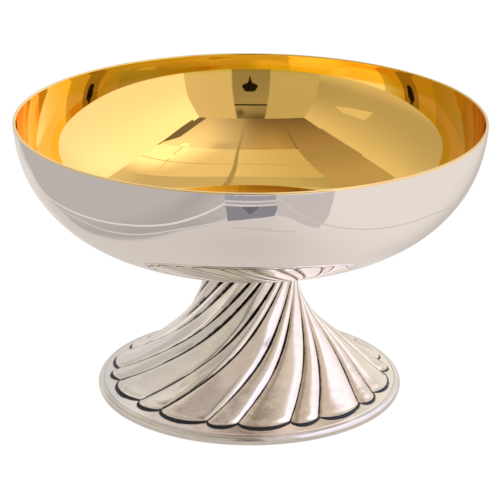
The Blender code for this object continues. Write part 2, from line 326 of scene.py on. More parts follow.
def gold_lip_painted_glow():
    n = Nodes("satin_gilt_lip_painted_glow")
    b = n.bsdf
    b.inputs["Metallic"].default_value = 1.0
    cloud = n.noise(n.coords(), 60.0, 3.0, 0.6)
    tone = n.mix(n.spread(cloud, 0.3, 0.7), (1.0, 0.80, 0.44), (1.0, 0.76, 0.38))
    # darker and browner along the back and towards the right-hand end
    tex = n.add("ShaderNodeTexCoord")
    xyz = n.add("ShaderNodeSeparateXYZ")
    n.link(tex.outputs["Object"], xyz.inputs[0])
    tone_shift = n.math("MAXIMUM", n.spread(xyz.outputs[0], 0.015, 0.080, 0.0, 0.9),
                    n.spread(xyz.outputs[1], 0.015, 0.060, 0.0, 0.8))
    n.link(n.mix(tone_shift, tone, (0.62, 0.43, 0.20)), b.inputs["Base Color"])
    rough = n.spread(n.noise(n.coords(), 220.0, 3.0), 0.3, 0.7, 0.26, 0.38)
    n.link(rough, b.inputs["Roughness"])
    n.link(n.bump(n.noise(n.coords(), 900.0, 2.0), 0.000006, 0.3), b.inputs["Normal"])
    # painted glow: the lip gives off a faint peach light of its own, standing in for its highlight
    b.inputs["Emission Color"].default_value = (1.0, 0.70, 0.42, 1.0)
    b.inputs["Emission Strength"].default_value = 0.14
    return n.mat


def antique_silver():
    """Cast and chased silver plate. One point attribute says where the dark wash was left in the
    chasing and, as painted shade, where the grooves, lobe ends and lower flanks are darkened more on
    the shaded side; 'stain' says where a brown tarnish lies on the backs."""
    n = Nodes("antiqued_silver")
    b = n.bsdf
    b.inputs["Metallic"].default_value = 1.0
    fine = n.noise(n.coords(), 900.0, 4.0, 0.65)
    mid = n.noise(n.coords((1.0, 1.0, 1.8)), 170.0, 4.0, 0.6, 0.6)
    wide = n.noise(n.coords(), 42.0, 3.0, 0.55, 0.4)
    oxide_and_shade = n.attribute("oxide_and_shade")
    wash_and_shade = n.math("ADD", oxide_and_shade, n.math("MULTIPLY", n.math("SUBTRACT", mid, 0.5), 0.60))
    wash_and_shade = n.math("ADD", wash_and_shade, n.math("MULTIPLY", n.math("SUBTRACT", fine, 0.5), 0.45))
    wash_and_shade = n.math("ADD", wash_and_shade, n.math("MULTIPLY", n.math("SUBTRACT", wide, 0.5), 0.30))
    # near black where the dark wash lies and where shade is painted into the grooves
    dark = n.spread(wash_and_shade, 0.40, 0.72)
    veil = n.spread(n.math("ADD", n.math("MULTIPLY", wide, 0.7),
                           n.math("MULTIPLY", mid, 0.5)), 0.50, 0.85)
    clean = n.mix(veil, (0.955, 0.880, 0.795), (0.88, 0.81, 0.725))
    # painted light: a brighter, whiter tone on the left-facing side and on the ledge
    clean = n.mix(n.attribute("painted_light_tone"), clean, (1.0, 0.945, 0.925))
    tex = n.add("ShaderNodeTexCoord")
    xyz = n.add("ShaderNodeSeparateXYZ")
    n.link(tex.outputs["Object"], xyz.inputs[0])
    # painted shade: from x = 4 to 24 mm rightwards the bare metal takes a darker, yellower tone,
    # damping the bright right-hand reflections
    clean = n.mix(n.spread(xyz.outputs[0], 0.004, 0.024), clean,
                  n.mix(veil, (0.915, 0.825, 0.70), (0.85, 0.765, 0.645)))
    # a soft grey fringe round the dark wash and the painted shade
    haze = n.mix(n.spread(wash_and_shade, 0.14, 0.50), clean, (0.60, 0.555, 0.52))
    stain = n.math("MULTIPLY", n.attribute("stain"), n.spread(
        n.math("ADD", n.math("MULTIPLY", mid, 0.6), n.math("MULTIPLY", fine, 0.4)),
        0.40, 0.62, 0.25, 1.0))
    haze = n.mix(stain, haze, (0.56, 0.485, 0.385))
    n.link(n.mix(dark, haze, (0.052, 0.055, 0.064)), b.inputs["Base Color"])
    rough = n.math("ADD", n.spread(mid, 0.3, 0.7, 0.10, 0.19), n.math(
        "ADD", n.math("MULTIPLY", dark, 0.30), n.math("MULTIPLY", stain, 0.10)))
    n.link(rough, b.inputs["Roughness"])
    first = n.bump(mid, 0.00007, 0.35)
    n.link(n.bump(fine, 0.000022, 0.45, first), b.inputs["Normal"])
    return n.mat


def border_silver():
    n = Nodes("polished_silver_border")
    b = n.bsdf
    b.inputs["Metallic"].default_value = 1.0
    mid = n.noise(n.coords(), 120.0, 4.0, 0.6, 0.5)
    oxide_and_shade = n.attribute("oxide_and_shade")
    dark = n.spread(n.math("ADD", oxide_and_shade, n.math(
        "MULTIPLY", n.math("SUBTRACT", mid, 0.5), 0.6)), 0.35, 0.75)
    clean = n.mix(n.spread(mid, 0.35, 0.7), (0.79, 0.745, 0.70), (0.72, 0.675, 0.635))
    tex = n.add("ShaderNodeTexCoord")
    xyz = n.add("ShaderNodeSeparateXYZ")
    n.link(tex.outputs["Object"], xyz.inputs[0])
    # painted highlight: the border's far left, beyond 46.5 mm to the left, is made near white
    clean = n.mix(n.spread(n.math("MULTIPLY", xyz.outputs[0], -1.0), 0.0465, 0.0520), clean,
                  (0.97, 0.93, 0.89))
    n.link(n.mix(dark, clean, (0.22, 0.20, 0.19)), b.inputs["Base Color"])
    n.link(n.math("ADD", n.spread(mid, 0.3, 0.7, 0.08, 0.15),
                  n.math("MULTIPLY", dark, 0.25)), b.inputs["Roughness"])
    lines = lathe_lines(n, 0.0005)
    n.link(n.bump(lines, 0.000010, 0.4), b.inputs["Normal"])
    return n.mat


def turned_metal(name, bright, dull, rough_low, rough_high, pitch=0.00035):
    """Machined or zinc-plated metal with tool rings, dull patches and edge wear."""
    n = Nodes(name)
    b = n.bsdf
    b.inputs["Metallic"].default_value = 1.0
    patch = n.noise(n.coords(), 160.0, 4.0, 0.6, 0.5)
    speck = n.noise(n.coords(), 900.0, 2.0)
    geo = n.add("ShaderNodeNewGeometry")
    edge = n.spread(geo.outputs["Pointiness"], 0.51, 0.60)
    tone = n.mix(n.spread(n.math("ADD", n.math("MULTIPLY", patch, 0.8),
                                 n.math("MULTIPLY", speck, 0.25)), 0.42, 0.72), bright, dull)
    n.link(n.mix(n.math("MULTIPLY", edge, 0.5), tone,
                 tuple(min(1.0, c * 1.18) for c in bright)), b.inputs["Base Color"])
    lines = lathe_lines(n, pitch)
    n.link(n.spread(n.math("ADD", n.math("MULTIPLY", patch, 0.6),
                           n.math("MULTIPLY", lines, 0.4)), 0.35, 0.65,
                    rough_low, rough_high), b.inputs["Roughness"])
    n.link(n.bump(lines, 0.00002, 0.5), b.inputs["Normal"])
    return n.mat


SILVER = mirror_silver()
GOLD = mirror_gold()
LIP = gold_lip_painted_glow()
ANTIQUE = antique_silver()
BORDER = border_silver()
SEAT_BRASS = turned_metal("turned_seat_brass", (0.80, 0.62, 0.31), (0.60, 0.44, 0.20), 0.20, 0.36)
PLATE_BRASS = turned_metal("turned_plate_brass", (0.74, 0.58, 0.30), (0.52, 0.39, 0.19), 0.26, 0.44)
STUD_BRASS = turned_metal("threaded_stud_brass", (0.84, 0.66, 0.33), (0.64, 0.48, 0.22), 0.16, 0.30)
WASHER_STEEL = turned_metal("zinc_washer_steel", (0.68, 0.68, 0.70), (0.50, 0.50, 0.52), 0.24, 0.42)
SPRING_STEEL = turned_metal("oiled_spring_steel", (0.40, 0.40, 0.42), (0.24, 0.235, 0.24), 0.26, 0.42)
NUT_BRASS = turned_metal("machined_nut_brass", (0.80, 0.63, 0.33), (0.60, 0.46, 0.22), 0.18, 0.34)


# ---- bowl: silver outside, gilding laid over the inside and the lip ---------------------
BOWL = Profile(BOWL_CURVE, 1.0)          # the normal points into the bowl
LIP_HALF = BOWL_WALL / 2


def lip_arc(half, start, stop, count):
    """Rounded lip from the outside over the top to the inside."""
    root = BOWL.point(LIP_HALF)
    inward = BOWL.normal(LIP_HALF)
    up = np.array([inward[1], -inward[0]])
    if up[1] < 0:
        up = -up
    centre = root + inward * LIP_HALF
    a = np.linspace(start, stop, count)
    c, s = np.cos(a), np.sin(a)
    flat = 2.0 / 2.5
    return (centre - inward * (np.sign(c) * np.abs(c) ** flat * half)[:, None]
            + up * (np.abs(s) ** flat * (half - 0.045))[:, None])


def wall_points(offset, rows):
    share = np.linspace(0.0, 1.0, rows)
    s = LIP_HALF + (BOWL.length - LIP_HALF) * share
    pts = BOWL.point(s) + BOWL.normal(s) * offset
    pts[-1, 0] = 0.0
    return pts


def make_bowl():
    steps, rows = 256, 110
    seam = 0.06 * math.pi
    under = 0.05                                       # the gilding lies this deep
    outside = wall_points(0.0, rows)
    silver = np.concatenate([
        lip_arc(LIP_HALF, seam, 0.0, 4)[:-1], outside,
        wall_points(BOWL_WALL - under, rows)[::-1],
        lip_arc(LIP_HALF - under, math.pi, seam, 14)[1:]])
    body = turned("bowl_silver_shell", silver[::-1], steps, [SILVER])
    gilt = np.concatenate([
        lip_arc(LIP_HALF, seam, math.pi, 22)[:-1], wall_points(BOWL_WALL, rows),
        wall_points(BOWL_WALL - under + 0.015, rows)[::-1],
        lip_arc(LIP_HALF - under + 0.015, math.pi, seam, 14)[1:]])
    lip_low = lip_arc(LIP_HALF, math.pi * 0.80, math.pi, 2)[0, 1]
    skin = turned("bowl_gilding", gilt, steps, [GOLD, LIP],
                  row_mats=lambda r, z: 1 if z > lip_low else 0)
    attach(body, "vessel")
    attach(skin, "vessel")
    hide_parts("bowl")
    return body, skin


# ---- foot: cast and chased with spiral gadroons --------------------------------------------
CREST = Profile(CREST_CURVE, -1.0)       # the normal points out of the foot
GROOVE_END = CREST.length - SCALLOP


def twist_of(s):
    grid = np.linspace(0.0, CREST.length, 600)
    radius = CREST.point(grid)[:, 0]
    lean = np.interp(radius, [row[0] for row in LEAN], [row[1] for row in LEAN])
    rate = np.tan(np.radians(lean)) / radius
    total = np.concatenate([[0.0], np.cumsum((rate[1:] + rate[:-1]) / 2 * np.diff(grid))])
    end = np.interp(GROOVE_END, grid, total)
    return end - np.interp(s, grid, total)


def columns():
    """Place across its gadroon of every column, and which gadroon it is on."""
    u_wide = np.linspace(0.0, 1.0, 21)[:-1]
    u_slim = np.linspace(0.0, 1.0, 15)[:-1]
    # columns crowd into the grooves
    def ease(u):
        return 0.5 - 0.5 * np.sign(1 - 2 * u) * np.abs(1 - 2 * u) ** 0.62
    lobe, u = [], []
    for p in range(PAIRS):
        for k, us in enumerate((u_wide, u_slim)):
            lobe += [2 * p + k] * len(us)
            u += list(ease(us))
    return np.array(lobe), np.array(u)


LOBE, ACROSS = columns()


def groove_angle(lobe, share):
    """Azimuth of the groove where a gadroon begins, before the twist."""
    pair, kind = lobe // 2, lobe % 2
    wide = WIDE_FOOT + (WIDE_NECK - WIDE_FOOT) * share
    stray = np.array(HAND_WANDER)[lobe % (2 * PAIRS)] * (1.0 - share)
    return FIRST_GROOVE + pair * 36.0 + kind * wide + stray


def azimuth(share):
    low = groove_angle(LOBE, share)
    nxt = (LOBE + 1)
    high = groove_angle(nxt % (2 * PAIRS), share) + 360.0 * (nxt // (2 * PAIRS))
    return np.radians(low + (high - low) * ACROSS)


def crown(u, wide):
    """Section of a gadroon: 0 in the grooves, 1 on its back."""
    x = np.abs(2.0 * u - 1.0)
    broad = 1.0 - (0.30 * x ** 2 + 0.70 * x ** 5)
    slim = 1.0 - (0.62 * x ** 2 + 0.38 * x ** 4)
    return np.where(wide, broad, slim)


def ledge(r):
    return LEDGE_HEIGHT + LEDGE_SLOPE * (LEDGE_RADIUS - r)


def ends_drawn_in(turn):
    """The round ends stop a little short of the rest on one side of the foot."""
    return (0.85 * np.clip(np.cos(turn - math.radians(-152.0)), 0.0, 1.0) ** 1.5
            + 0.80 * np.clip(np.cos(turn - math.radians(-78.0)), 0.0, 1.0) ** 6)


def make_foot():
    cols = len(LOBE)
    wide = LOBE % 2 == 0
    back = crown(ACROSS, wide)
    tongue = SCALLOP * (1.0 - (2.0 * ACROSS - 1.0) ** 2) ** 0.80 * np.where(wide, 1.0, 0.92)
    near = np.minimum(ACROSS, 1.0 - ACROSS) * np.where(wide, 22.5, 13.5)  # degrees
    rows_v = 1.0 - (1.0 - np.linspace(0.0, 1.0, 116)) ** 1.06
    grid, oxide_and_shade, stain, painted_light_tone = [], [], [], []

    def place(radius, height, angle, dark, brown=None, tone_shift=0.0):
        # painted light: points facing left, and the rows of the ledge, get a brighter, whiter tone
        painted_light_tone.append(np.maximum(0.85 * smoothstep(0.45, 0.95, -np.cos(angle)), tone_shift))
        grid.append(np.stack([radius * np.cos(angle), radius * np.sin(angle),
                              height], -1))
        oxide_and_shade.append(dark)
        stain.append(np.zeros(cols) if brown is None else brown)

    short = ends_drawn_in(azimuth(0.0))
    lobe_tone = 0.5 + 0.5 * np.sin(LOBE * 2.399 + 0.8)      # no two backs alike
    fall = 0.45                       # the gadroon's back rolls over at its end
    for v in rows_v:
        forward = smoothstep(0.55, 1.0, np.full(cols, v)) * tongue
        s = (GROOVE_END - short) * v + forward
        angle = azimuth(1.0 - v)
        out = CREST.normal(s)
        soften = 1.0 - 0.10 * v
        depth = GROOVE_DEPTH * (1.0 - back) * soften
        roll = fall * smoothstep(0.945, 1.0, np.full(cols, v)) ** 2 * (0.35 + 0.65 * back)
        p = CREST.point(s) - out * (depth + roll)[:, None]
        turn = angle + twist_of(s)
        width = near * np.radians(1.0) * p[:, 0]           # mm from the groove
        # the dark band along the grooves: oxide left in the chasing, with painted shade that makes it
        # wide and heavy on the shaded side, thin elsewhere
        side = 0.5 + 0.5 * np.sin(turn - math.radians(160.0))
        stray = wave_noise(LOBE * 1.7 + v * 9.0, 3) * 0.5 + 0.5
        reach = (0.24 + 0.66 * stray * (0.30 + 0.70 * side)
                 + 0.30 * smoothstep(0.5, 0.0, v))
        # broad soft streaks in the narrow flutes of the neck, on the left
        streak = (smoothstep(0.45, 0.95, 0.5 + 0.5 * np.cos(turn + math.radians(150.0)))
                  * smoothstep(0.66, 0.22, v))
        reach = reach + 1.05 * streak * (0.3 + 0.7 * stray)
        dark = np.clip(1.12 - width / reach, 0.0, 1.0) * (1.0 - 0.30 * streak)
        # painted shade: long dark patches on the lower flanks, halfway up the shaded side
        painted_flank_shade = (smoothstep(0.58, 0.80, ACROSS) * smoothstep(0.99, 0.90, ACROSS)
                  * smoothstep(0.60, 0.88, wave_noise(LOBE * 2.3 + v * 9.0, 6) * 0.5 + 0.5)
                  * smoothstep(0.80, 0.55, v) * smoothstep(0.55, 0.95, side))
        dark = np.maximum(dark, 0.42 * painted_flank_shade)
        base_of = (smoothstep(0.60, 0.95, v) * smoothstep(0.02, 0.25, ACROSS)
                   * smoothstep(0.85, 0.35, ACROSS))
        facing = smoothstep(0.15, 0.85, 0.5 - 0.5 * np.sin(turn))
        leftward = smoothstep(0.35, 0.85, -np.cos(turn))
        brown = ((0.30 + 0.70 * lobe_tone) * (0.18 + 0.82 * base_of) * facing
                 * (1.0 - 0.65 * leftward))
        place(p[:, 0], p[:, 1], turn, dark, brown)

    edge = grid[-1].copy()
    ahead = np.roll(edge, -1, 0) - np.roll(edge, 1, 0)
    normal = np.stack([ahead[:, 1], -ahead[:, 0]], -1)
    normal /= np.linalg.norm(normal, axis=1)[:, None]
    radial = edge[:, :2] / np.linalg.norm(edge[:, :2], axis=1)[:, None]
    cusp = np.clip(1.0 - near / 1.2, 0.0, 1.0)[:, None]
    normal = normal * (1 - cusp) + radial * cusp
    normal /= np.linalg.norm(normal, axis=1)[:, None]
    # end walls: a rounded shoulder, a near-upright wall and a small fillet
    for away, down in ((0.10, 0.05), (0.17, 0.14), (0.21, 0.30), (0.235, 0.50),
                       (0.26, 0.72), (0.30, 0.88), (0.40, 0.97), (0.62, 1.0)):
        xy = edge[:, :2] + normal * away
        rr = np.linalg.norm(xy, axis=1)
        floor = ledge(rr)
        z = edge[:, 2] + (floor - edge[:, 2]) * down
        place(rr, z, np.unwrap(np.arctan2(xy[:, 1], xy[:, 0])),
              np.full(cols, 1.15 if down > 0.1 else 0.25))
    inner_xy = edge[:, :2] + normal * 0.62
    inner_r = np.linalg.norm(inner_xy, axis=1)
    inner_a = np.unwrap(np.arctan2(inner_xy[:, 1], inner_xy[:, 0]))
    end_angle = azimuth(0.0)
    end_angle = end_angle + TAU * np.round((inner_a - end_angle) / TAU)
    shaded = 0.5 + 0.5 * np.sin(end_angle - math.radians(150.0))
    # the ledge: a dark fringe of painted shade at the foot of every lobe end, widest on the shaded
    # side; the ledge rows also take the brighter painted-light tone
    for share in (0.06, 0.14, 0.24, 0.36, 0.50, 0.64, 0.82, 1.0):
        rr = inner_r + (LEDGE_RADIUS - 0.22 - inner_r) * share
        aa = inner_a + (end_angle - inner_a) * smoothstep(0.0, 1.0, np.full(cols, share))
        dish = 0.06 * math.sin(math.pi * share)
        place(rr, ledge(rr) - dish, aa,
              np.clip(0.56 + 0.66 * shaded - 1.05 * (rr - inner_r), 0.0, 1.0),
              np.full(cols, 0.06 * (1.0 - share)), 1.0)
    aa = end_angle
    for rr, zz, dark in ((LEDGE_RADIUS - 0.08, ledge(LEDGE_RADIUS) - 0.02, 0.0),
                         (LEDGE_RADIUS - 0.01, ledge(LEDGE_RADIUS) - 0.08, 0.05),
                         (LEDGE_RADIUS, ledge(LEDGE_RADIUS) - 0.25, 0.15),
                         (LEDGE_RADIUS, ledge(LEDGE_RADIUS) - 1.1, 0.3),
                         (48.4, ledge(48.4) - 1.1, 0.2), (46.2, ledge(46.2) - 1.1, 0.2)):
        place(np.full(cols, rr), np.full(cols, zz), aa, np.full(cols, dark))
    # inside of the casting, following the outside at one wall's distance
    for share in np.linspace(0.94, 0.30, 30):
        s = GROOVE_END * share
        p = CREST.point(s) - CREST.normal(s) * (GROOVE_DEPTH + 1.0)
        if p[0] < NECK_BORE + 0.15:
            continue
        angle = azimuth(1.0 - share) + twist_of(s)
        ripple = 0.22 * (back - 0.5)
        place(np.full(cols, p[0]) + ripple, np.full(cols, p[1]) + ripple * 0.6, angle,
              np.full(cols, 0.25))
    low_bore = grid[-1][:, 2].mean()
    for height in np.linspace(low_bore + 1.2, CREST_CURVE[0][1], 16):
        s = np.interp(-height, -CREST.pts[:, 1], CREST.at)
        angle = azimuth(1.0 - s / GROOVE_END) + twist_of(s)
        place(np.full(cols, NECK_BORE), np.full(cols, height), angle, np.full(cols, 0.2))
    rows = len(grid)
    verts = np.concatenate(grid)
    faces = band_faces(rows, cols, wrap_rows=True, flip=True)
    foot = make_object("foot_chased", verts, faces, [ANTIQUE], sharp=58.0)
    set_attribute(foot, "oxide_and_shade", np.concatenate(oxide_and_shade))
    set_attribute(foot, "stain", np.concatenate(stain))
    set_attribute(foot, "painted_light_tone", np.concatenate(painted_light_tone))
    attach(foot, "vessel")
    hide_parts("foot")
    return foot


# ---- border ring ------------------------------------------------------------------------------
def make_border():
    gap = 0.05
    inner = LEDGE_RADIUS + gap
    # a flat land level with the ledge, a soft hollow, then the rounded roll
    arc = [(inner, 2.86), (inner + 0.03, 2.955), (inner + 0.11, 2.985), (inner + 0.22, 2.96),
           (inner + 0.34, 2.90), (inner + 0.46, 2.855)]
    for a in np.linspace(math.radians(68), math.radians(-20), 22):
        arc.append((51.28 + 1.60 * math.cos(a) ** 0.9, 1.17 + 1.66 * math.sin(a)))
    arc = [p for p in arc if p[1] > 0.45]
    arc += [(RING_RADIUS - 0.16, 0.34), (RING_RADIUS - 0.26, 0.14), (RING_RADIUS - 0.42, 0.03),
            (RING_RADIUS - 0.60, 0.0), (49.35, 0.0), (49.08, 0.06), (49.0, 0.22),
            (49.0, 1.90), (inner + 0.02, 1.50), (inner, 1.70), (inner, 2.60)]
    ring = turned("border_moulding", arc[::-1], 256, [BORDER], sharp=50.0)
    co = np.array([v.co for v in ring.data.vertices]) / MM
    rr = np.hypot(co[:, 0], co[:, 1])
    joint = np.clip(1.0 - np.abs(rr - inner) / 0.05, 0.0, 1.0) * (co[:, 2] > 1.5) * 0.35
    foot_line = np.clip(1.0 - co[:, 2] / 0.25, 0.0, 1.0) * 0.45
    set_attribute(ring, "oxide_and_shade", np.maximum(joint, foot_line))
    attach(ring, "vessel")
    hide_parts("border_ring")
    return ring


make_bowl()
make_foot()
make_border()

# ---- hardware kept from the CAD, with its own finishes ------------------------------------------
for node, mat in (("seat_flange", SEAT_BRASS), ("neck_plate", PLATE_BRASS),
                  ("stud", STUD_BRASS), ("plain_washer", WASHER_STEEL),
                  ("spring_washer", SPRING_STEEL), ("hex_nut", NUT_BRASS)):
    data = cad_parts[node].data
    data.materials.clear()
    data.materials.append(mat)


# ---- studio: a box of soft panels seen only in the metal ------------------------------------------
def glow_material():
    mat = bpy.data.materials.new("studio_panel")
    mat.use_nodes = True
    tree = mat.node_tree
    tree.nodes.clear()
    out = tree.nodes.new("ShaderNodeOutputMaterial")
    emit = tree.nodes.new("ShaderNodeEmission")
    colour = tree.nodes.new("ShaderNodeAttribute")
    colour.attribute_name = "glow"
    tree.links.new(colour.outputs["Color"], emit.inputs["Color"])
    tree.links.new(emit.outputs[0], out.inputs["Surface"])
    return mat


GLOW = glow_material()


def panel(name, corners, size, colour_of):
    """A glowing sheet spanned by four corners; colour_of gives each point's light."""
    nu, nv = size
    u, v = np.meshgrid(np.linspace(0, 1, nu), np.linspace(0, 1, nv))
    u, v = u.ravel()[:, None], v.ravel()[:, None]
    a, b, c, d = (np.array(p, float) for p in corners)
    pts = a * (1 - u) * (1 - v) + b * u * (1 - v) + c * u * v + d * (1 - u) * v
    faces = [(j * nu + i, j * nu + i + 1, (j + 1) * nu + i + 1, (j + 1) * nu + i)
             for j in range(nv - 1) for i in range(nu - 1)]
    mesh = bpy.data.meshes.new(name)
    mesh.from_pydata((pts * MM).tolist(), [], faces)
    mesh.materials.append(GLOW)
    obj = bpy.data.objects.new(name, mesh)
    bpy.context.scene.collection.objects.link(obj)
    light = np.ones((len(pts), 4), np.float32)
    light[:, :3] = np.clip(colour_of(pts), 0.0, None)
    att = mesh.attributes.new("glow", "FLOAT_COLOR", "POINT")
    att.data.foreach_set("color", light.ravel())
    obj.visible_camera = False
    obj.visible_shadow = False
    return obj


def blend_rgb(a, b, w):
    w = np.asarray(w)[:, None]
    return np.asarray(a) * (1 - w) + np.asarray(b) * w


def grey(level, warm=(1.0, 1.0, 1.0)):
    return np.asarray(level)[:, None] * np.asarray(warm)[None]


def smooth_line(points, per=10):
    """Catmull-Rom curve through a few named points."""
    p = np.array(points, float)
    p = np.concatenate([[2 * p[0] - p[1]], p, [2 * p[-1] - p[-2]]])
    out = []
    for i in range(1, len(p) - 2):
        for t in np.linspace(0, 1, per, endpoint=False):
            out.append(0.5 * ((2 * p[i]) + (p[i + 1] - p[i - 1]) * t
                              + (2 * p[i - 1] - 5 * p[i] + 4 * p[i + 1] - p[i + 2]) * t * t
                              + (-p[i - 1] + 3 * p[i] - 3 * p[i + 1] + p[i + 2]) * t ** 3))
    out.append(p[-2])
    return np.array(out)


def sheet(name, verts, faces, light):
    """A small glowing or dark sheet of the tent; light is one colour a point."""
    mesh = bpy.data.meshes.new(name)
    mesh.from_pydata((np.asarray(verts, float) * MM).tolist(), [], faces)
    mesh.materials.append(GLOW)
    att = mesh.attributes.new("glow", "FLOAT_COLOR", "POINT")
    full = np.ones((len(verts), 4), np.float32)
    full[:, :3] = np.asarray(light, float)
    att.data.foreach_set("color", full.ravel())
    obj = bpy.data.objects.new(name, mesh)
    bpy.context.scene.collection.objects.link(obj)
    obj.visible_camera = False
    obj.visible_shadow = False
    return obj


def ribbon(name, line, half, height, light):
    """A narrow strip along a line in a level plane: a seam or a rod of the tent."""
    line = np.asarray(line, float)
    run = np.gradient(line, axis=0)
    side = np.stack([-run[:, 1], run[:, 0]], -1)
    side /= np.linalg.norm(side, axis=1)[:, None]
    n = len(line)
    half = np.broadcast_to(np.asarray(half, float), (n,))[:, None]
    flat = np.concatenate([line + side * half, line - side * half])
    verts = np.concatenate([flat, np.full((2 * n, 1), height)], 1)
    light = np.broadcast_to(np.asarray(light, float), (n, 3))
    return sheet(name, verts, [(i, i + 1, n + i + 1, n + i) for i in range(n - 1)],
                 np.concatenate([light, light]))


def patch(name, outline, height, light, axis=2):
    """A flat panel of any outline in one plane."""
    outline = np.asarray(outline, float)
    verts = np.insert(outline, axis, height, axis=1)
    return sheet(name, verts, [tuple(range(len(verts)))],
                 np.broadcast_to(np.asarray(light, float), (len(verts), 3)))


ROOF = 860.0
FRONT = -560.0
BACK = 700.0
RIGHT_FRONT, RIGHT_BACK = 412.0, 582.0
LEFT_FRONT, LEFT_BACK = -428.0, -622.0
WARM = (1.05, 1.0, 0.94)


def right_wall(p):
    y, z = p[:, 1], p[:, 2]
    level = 1.10 + 0.27 * smoothstep(150.0, 700.0, z)
    level *= 1.0 - 0.10 * smoothstep(300.0, 650.0, y)
    out = grey(level, (1.04, 1.0, 1.07 + 0.10))
    hem = (z > 818.0 + 22.0 * smoothstep(-330.0, -60.0, y)) & (y > -470.0) & (y < -4.0)
    out[hem] = (0.19, 0.175, 0.155)
    return out


def left_wall(p):
    level = 0.49 + 0.30 * smoothstep(250.0, 900.0, p[:, 2])
    level -= 0.04 * smoothstep(-200.0, -560.0, p[:, 1])
    level += 0.34 * smoothstep(230.0, 60.0, p[:, 2])
    level = np.where((p[:, 2] > 842.0) & (np.abs(p[:, 1] + 60.0) < 250.0), 0.34, level)
    return grey(level, (1.05, 1.0, 0.90))


def front_wall(p):
    x, z = p[:, 0], p[:, 2]
    left = grey(0.55 + 0.0 * x, (1.045, 1.0, 0.88))
    right = grey(0.68 + 0.05 * smoothstep(200.0, 420.0, x), (1.05, 1.0, 0.95))
    out = np.where((x > 0)[:, None], right, left)
    gap = np.abs(x + 1.0) < 104.5
    upper = (0.13 + 0.17 * smoothstep(850.0, 620.0, z) + 0.08 * smoothstep(-60, 60, x)
             - 0.22 * np.exp(-((x - 72) / 28) ** 2 - ((z - 700) / 70) ** 2))
    lower = 0.305 + 0.055 * smoothstep(200, 560, z)
    inside = grey(np.where(z > 555.0, upper, lower), (1.08, 1.0, 0.88))
    out = np.where(gap[:, None], inside, out)
    out[gap & (np.abs(z - 556.0) < 13.0)] = (0.035, 0.03, 0.028)
    return out


def ceiling(p):
    x, y = p[:, 0], p[:, 1]
    depth = np.clip((y + 525.0) / 450.0, 0.0, 1.0)
    front = 0.16 + 0.165 * depth + (0.55 + 0.30 * depth) * smoothstep(-100.0, 330.0, x)
    front *= (1.0 + 0.30 * (0.25 + 0.75 * depth) * np.exp(-((x + 95.0) / 80.0) ** 2)
              + 0.22 * (1.0 - depth) * np.exp(-((x - 68.0) / 50.0) ** 2)
              - 0.24 * smoothstep(0.78, 1.0, depth) * np.exp(-((x - 135.0) / 60.0) ** 2))
    lamp = 0.68 * smoothstep(90.0, 320.0, x - 0.35 * np.maximum(y, 0.0)) \
        * (1.0 - smoothstep(200.0, 470.0, y))
    pane = 0.60 + 0.20 * smoothstep(-210.0, 150.0, x) + lamp
    beside = 0.345 + 0.10 * smoothstep(0.0, 500.0, y)
    behind = 0.45 + 0.13 * smoothstep(-250.0, 0.0, x) + 0.14 * smoothstep(300.0, 520.0, x)
    level = np.where(x > -209.0, np.where(y < 466.0, pane, behind), beside)
    level = np.where(y < -24.0, front, level)
    out = grey(level, (1.05, 1.0, 0.94)) + grey(
        np.where((y > -24.0) & (x > 60.0), lamp, 0.0), (0.0, -0.01, 0.33))
    warm = smoothstep(110.0, -120.0, x)           # the left half is a warmer cloth
    near = y < -24.0
    out[:, 0] *= np.where(near, 1.0 + 0.22 * warm, np.where(x < -209.0, 1.16, 1.03))
    out[:, 1] *= np.where(near, 1.0, np.where(x < -209.0, 1.03, 1.02))
    out[:, 2] *= np.where(near, 1.17 - 0.40 * warm,
                          np.where(x < -209.0, 0.83, 1.04 - 0.20 * smoothstep(120.0, -160.0, x)))
    return out


def back_wall(p):
    side = smoothstep(-120.0, 200.0, p[:, 0])
    high = smoothstep(480.0, 690.0, p[:, 2])
    level = (0.62 + 0.12 * high) * (1.0 - side) + (0.90 - 0.16 * high) * side
    return grey(level, (1.03, 1.0, 0.96))


# where the cloth under the vessel ends and the tent's sewn floor shows, left side
NEAR_EDGE = ((-215, 275), (-204, 213), (-193, 167), (-185, 127), (-172, 101), (-158, 76),
             (-146, 55), (-134, 40), (-122, 30), (-111, 24), (-103, 14), (-96, -6), (-88, -29),
             (-75, -70), (-64, -120), (-28, -170), (-9, -290))

# outer border of the shade behind the vessel, right side
SHADE_EDGE = ((58, -26), (80, -11), (100, 4), (123, 23), (141, 53), (155, 92), (175, 120),
              (190, 170), (200, 260))


def floor_light(p):
    x, y = p[:, 0], p[:, 1]
    edge = np.array(sorted((b, a) for a, b in NEAR_EDGE), float)
    inside = smoothstep(-5.0, 5.0, x - np.interp(y, edge[:, 0], edge[:, 1]))[:, None]
    near = (grey(0.615 + 0.155 * smoothstep(-10.0, 120.0, x), (1.09, 1.0, 0.925))
            - grey(0.045 * np.exp(-(x / 45.0) ** 2 - ((y + 95.0) / 40.0) ** 2))
            + grey(0.11 * smoothstep(50.0, 130.0, y) * smoothstep(0.0, -60.0, x)))
    outer = grey(0.475 - 0.07 * smoothstep(-135.0, -85.0, x)
                 + 0.075 * smoothstep(-95.0, -45.0, x) * smoothstep(-120.0, -200.0, y),
                 (1.085, 1.0, 0.965))
    # the shade that the vessel throws on the cloth behind it, on the right
    rim = np.array([(b, a) for a, b in SHADE_EDGE], float)
    d = np.interp(y, rim[:, 0], rim[:, 1]) - x
    shade = (0.07 * smoothstep(-70.0, -10.0, d) + 0.13 * smoothstep(-12.0, 14.0, d)
             + 0.09 * smoothstep(14.0, 34.0, d))
    shade = (shade * (0.42 + 0.58 * smoothstep(0.0, 95.0, y)) * smoothstep(-40.0, -10.0, y)
             * smoothstep(55.0, 80.0, x))
    return (outer + (near - outer) * inside) * (1.0 - shade)[:, None]


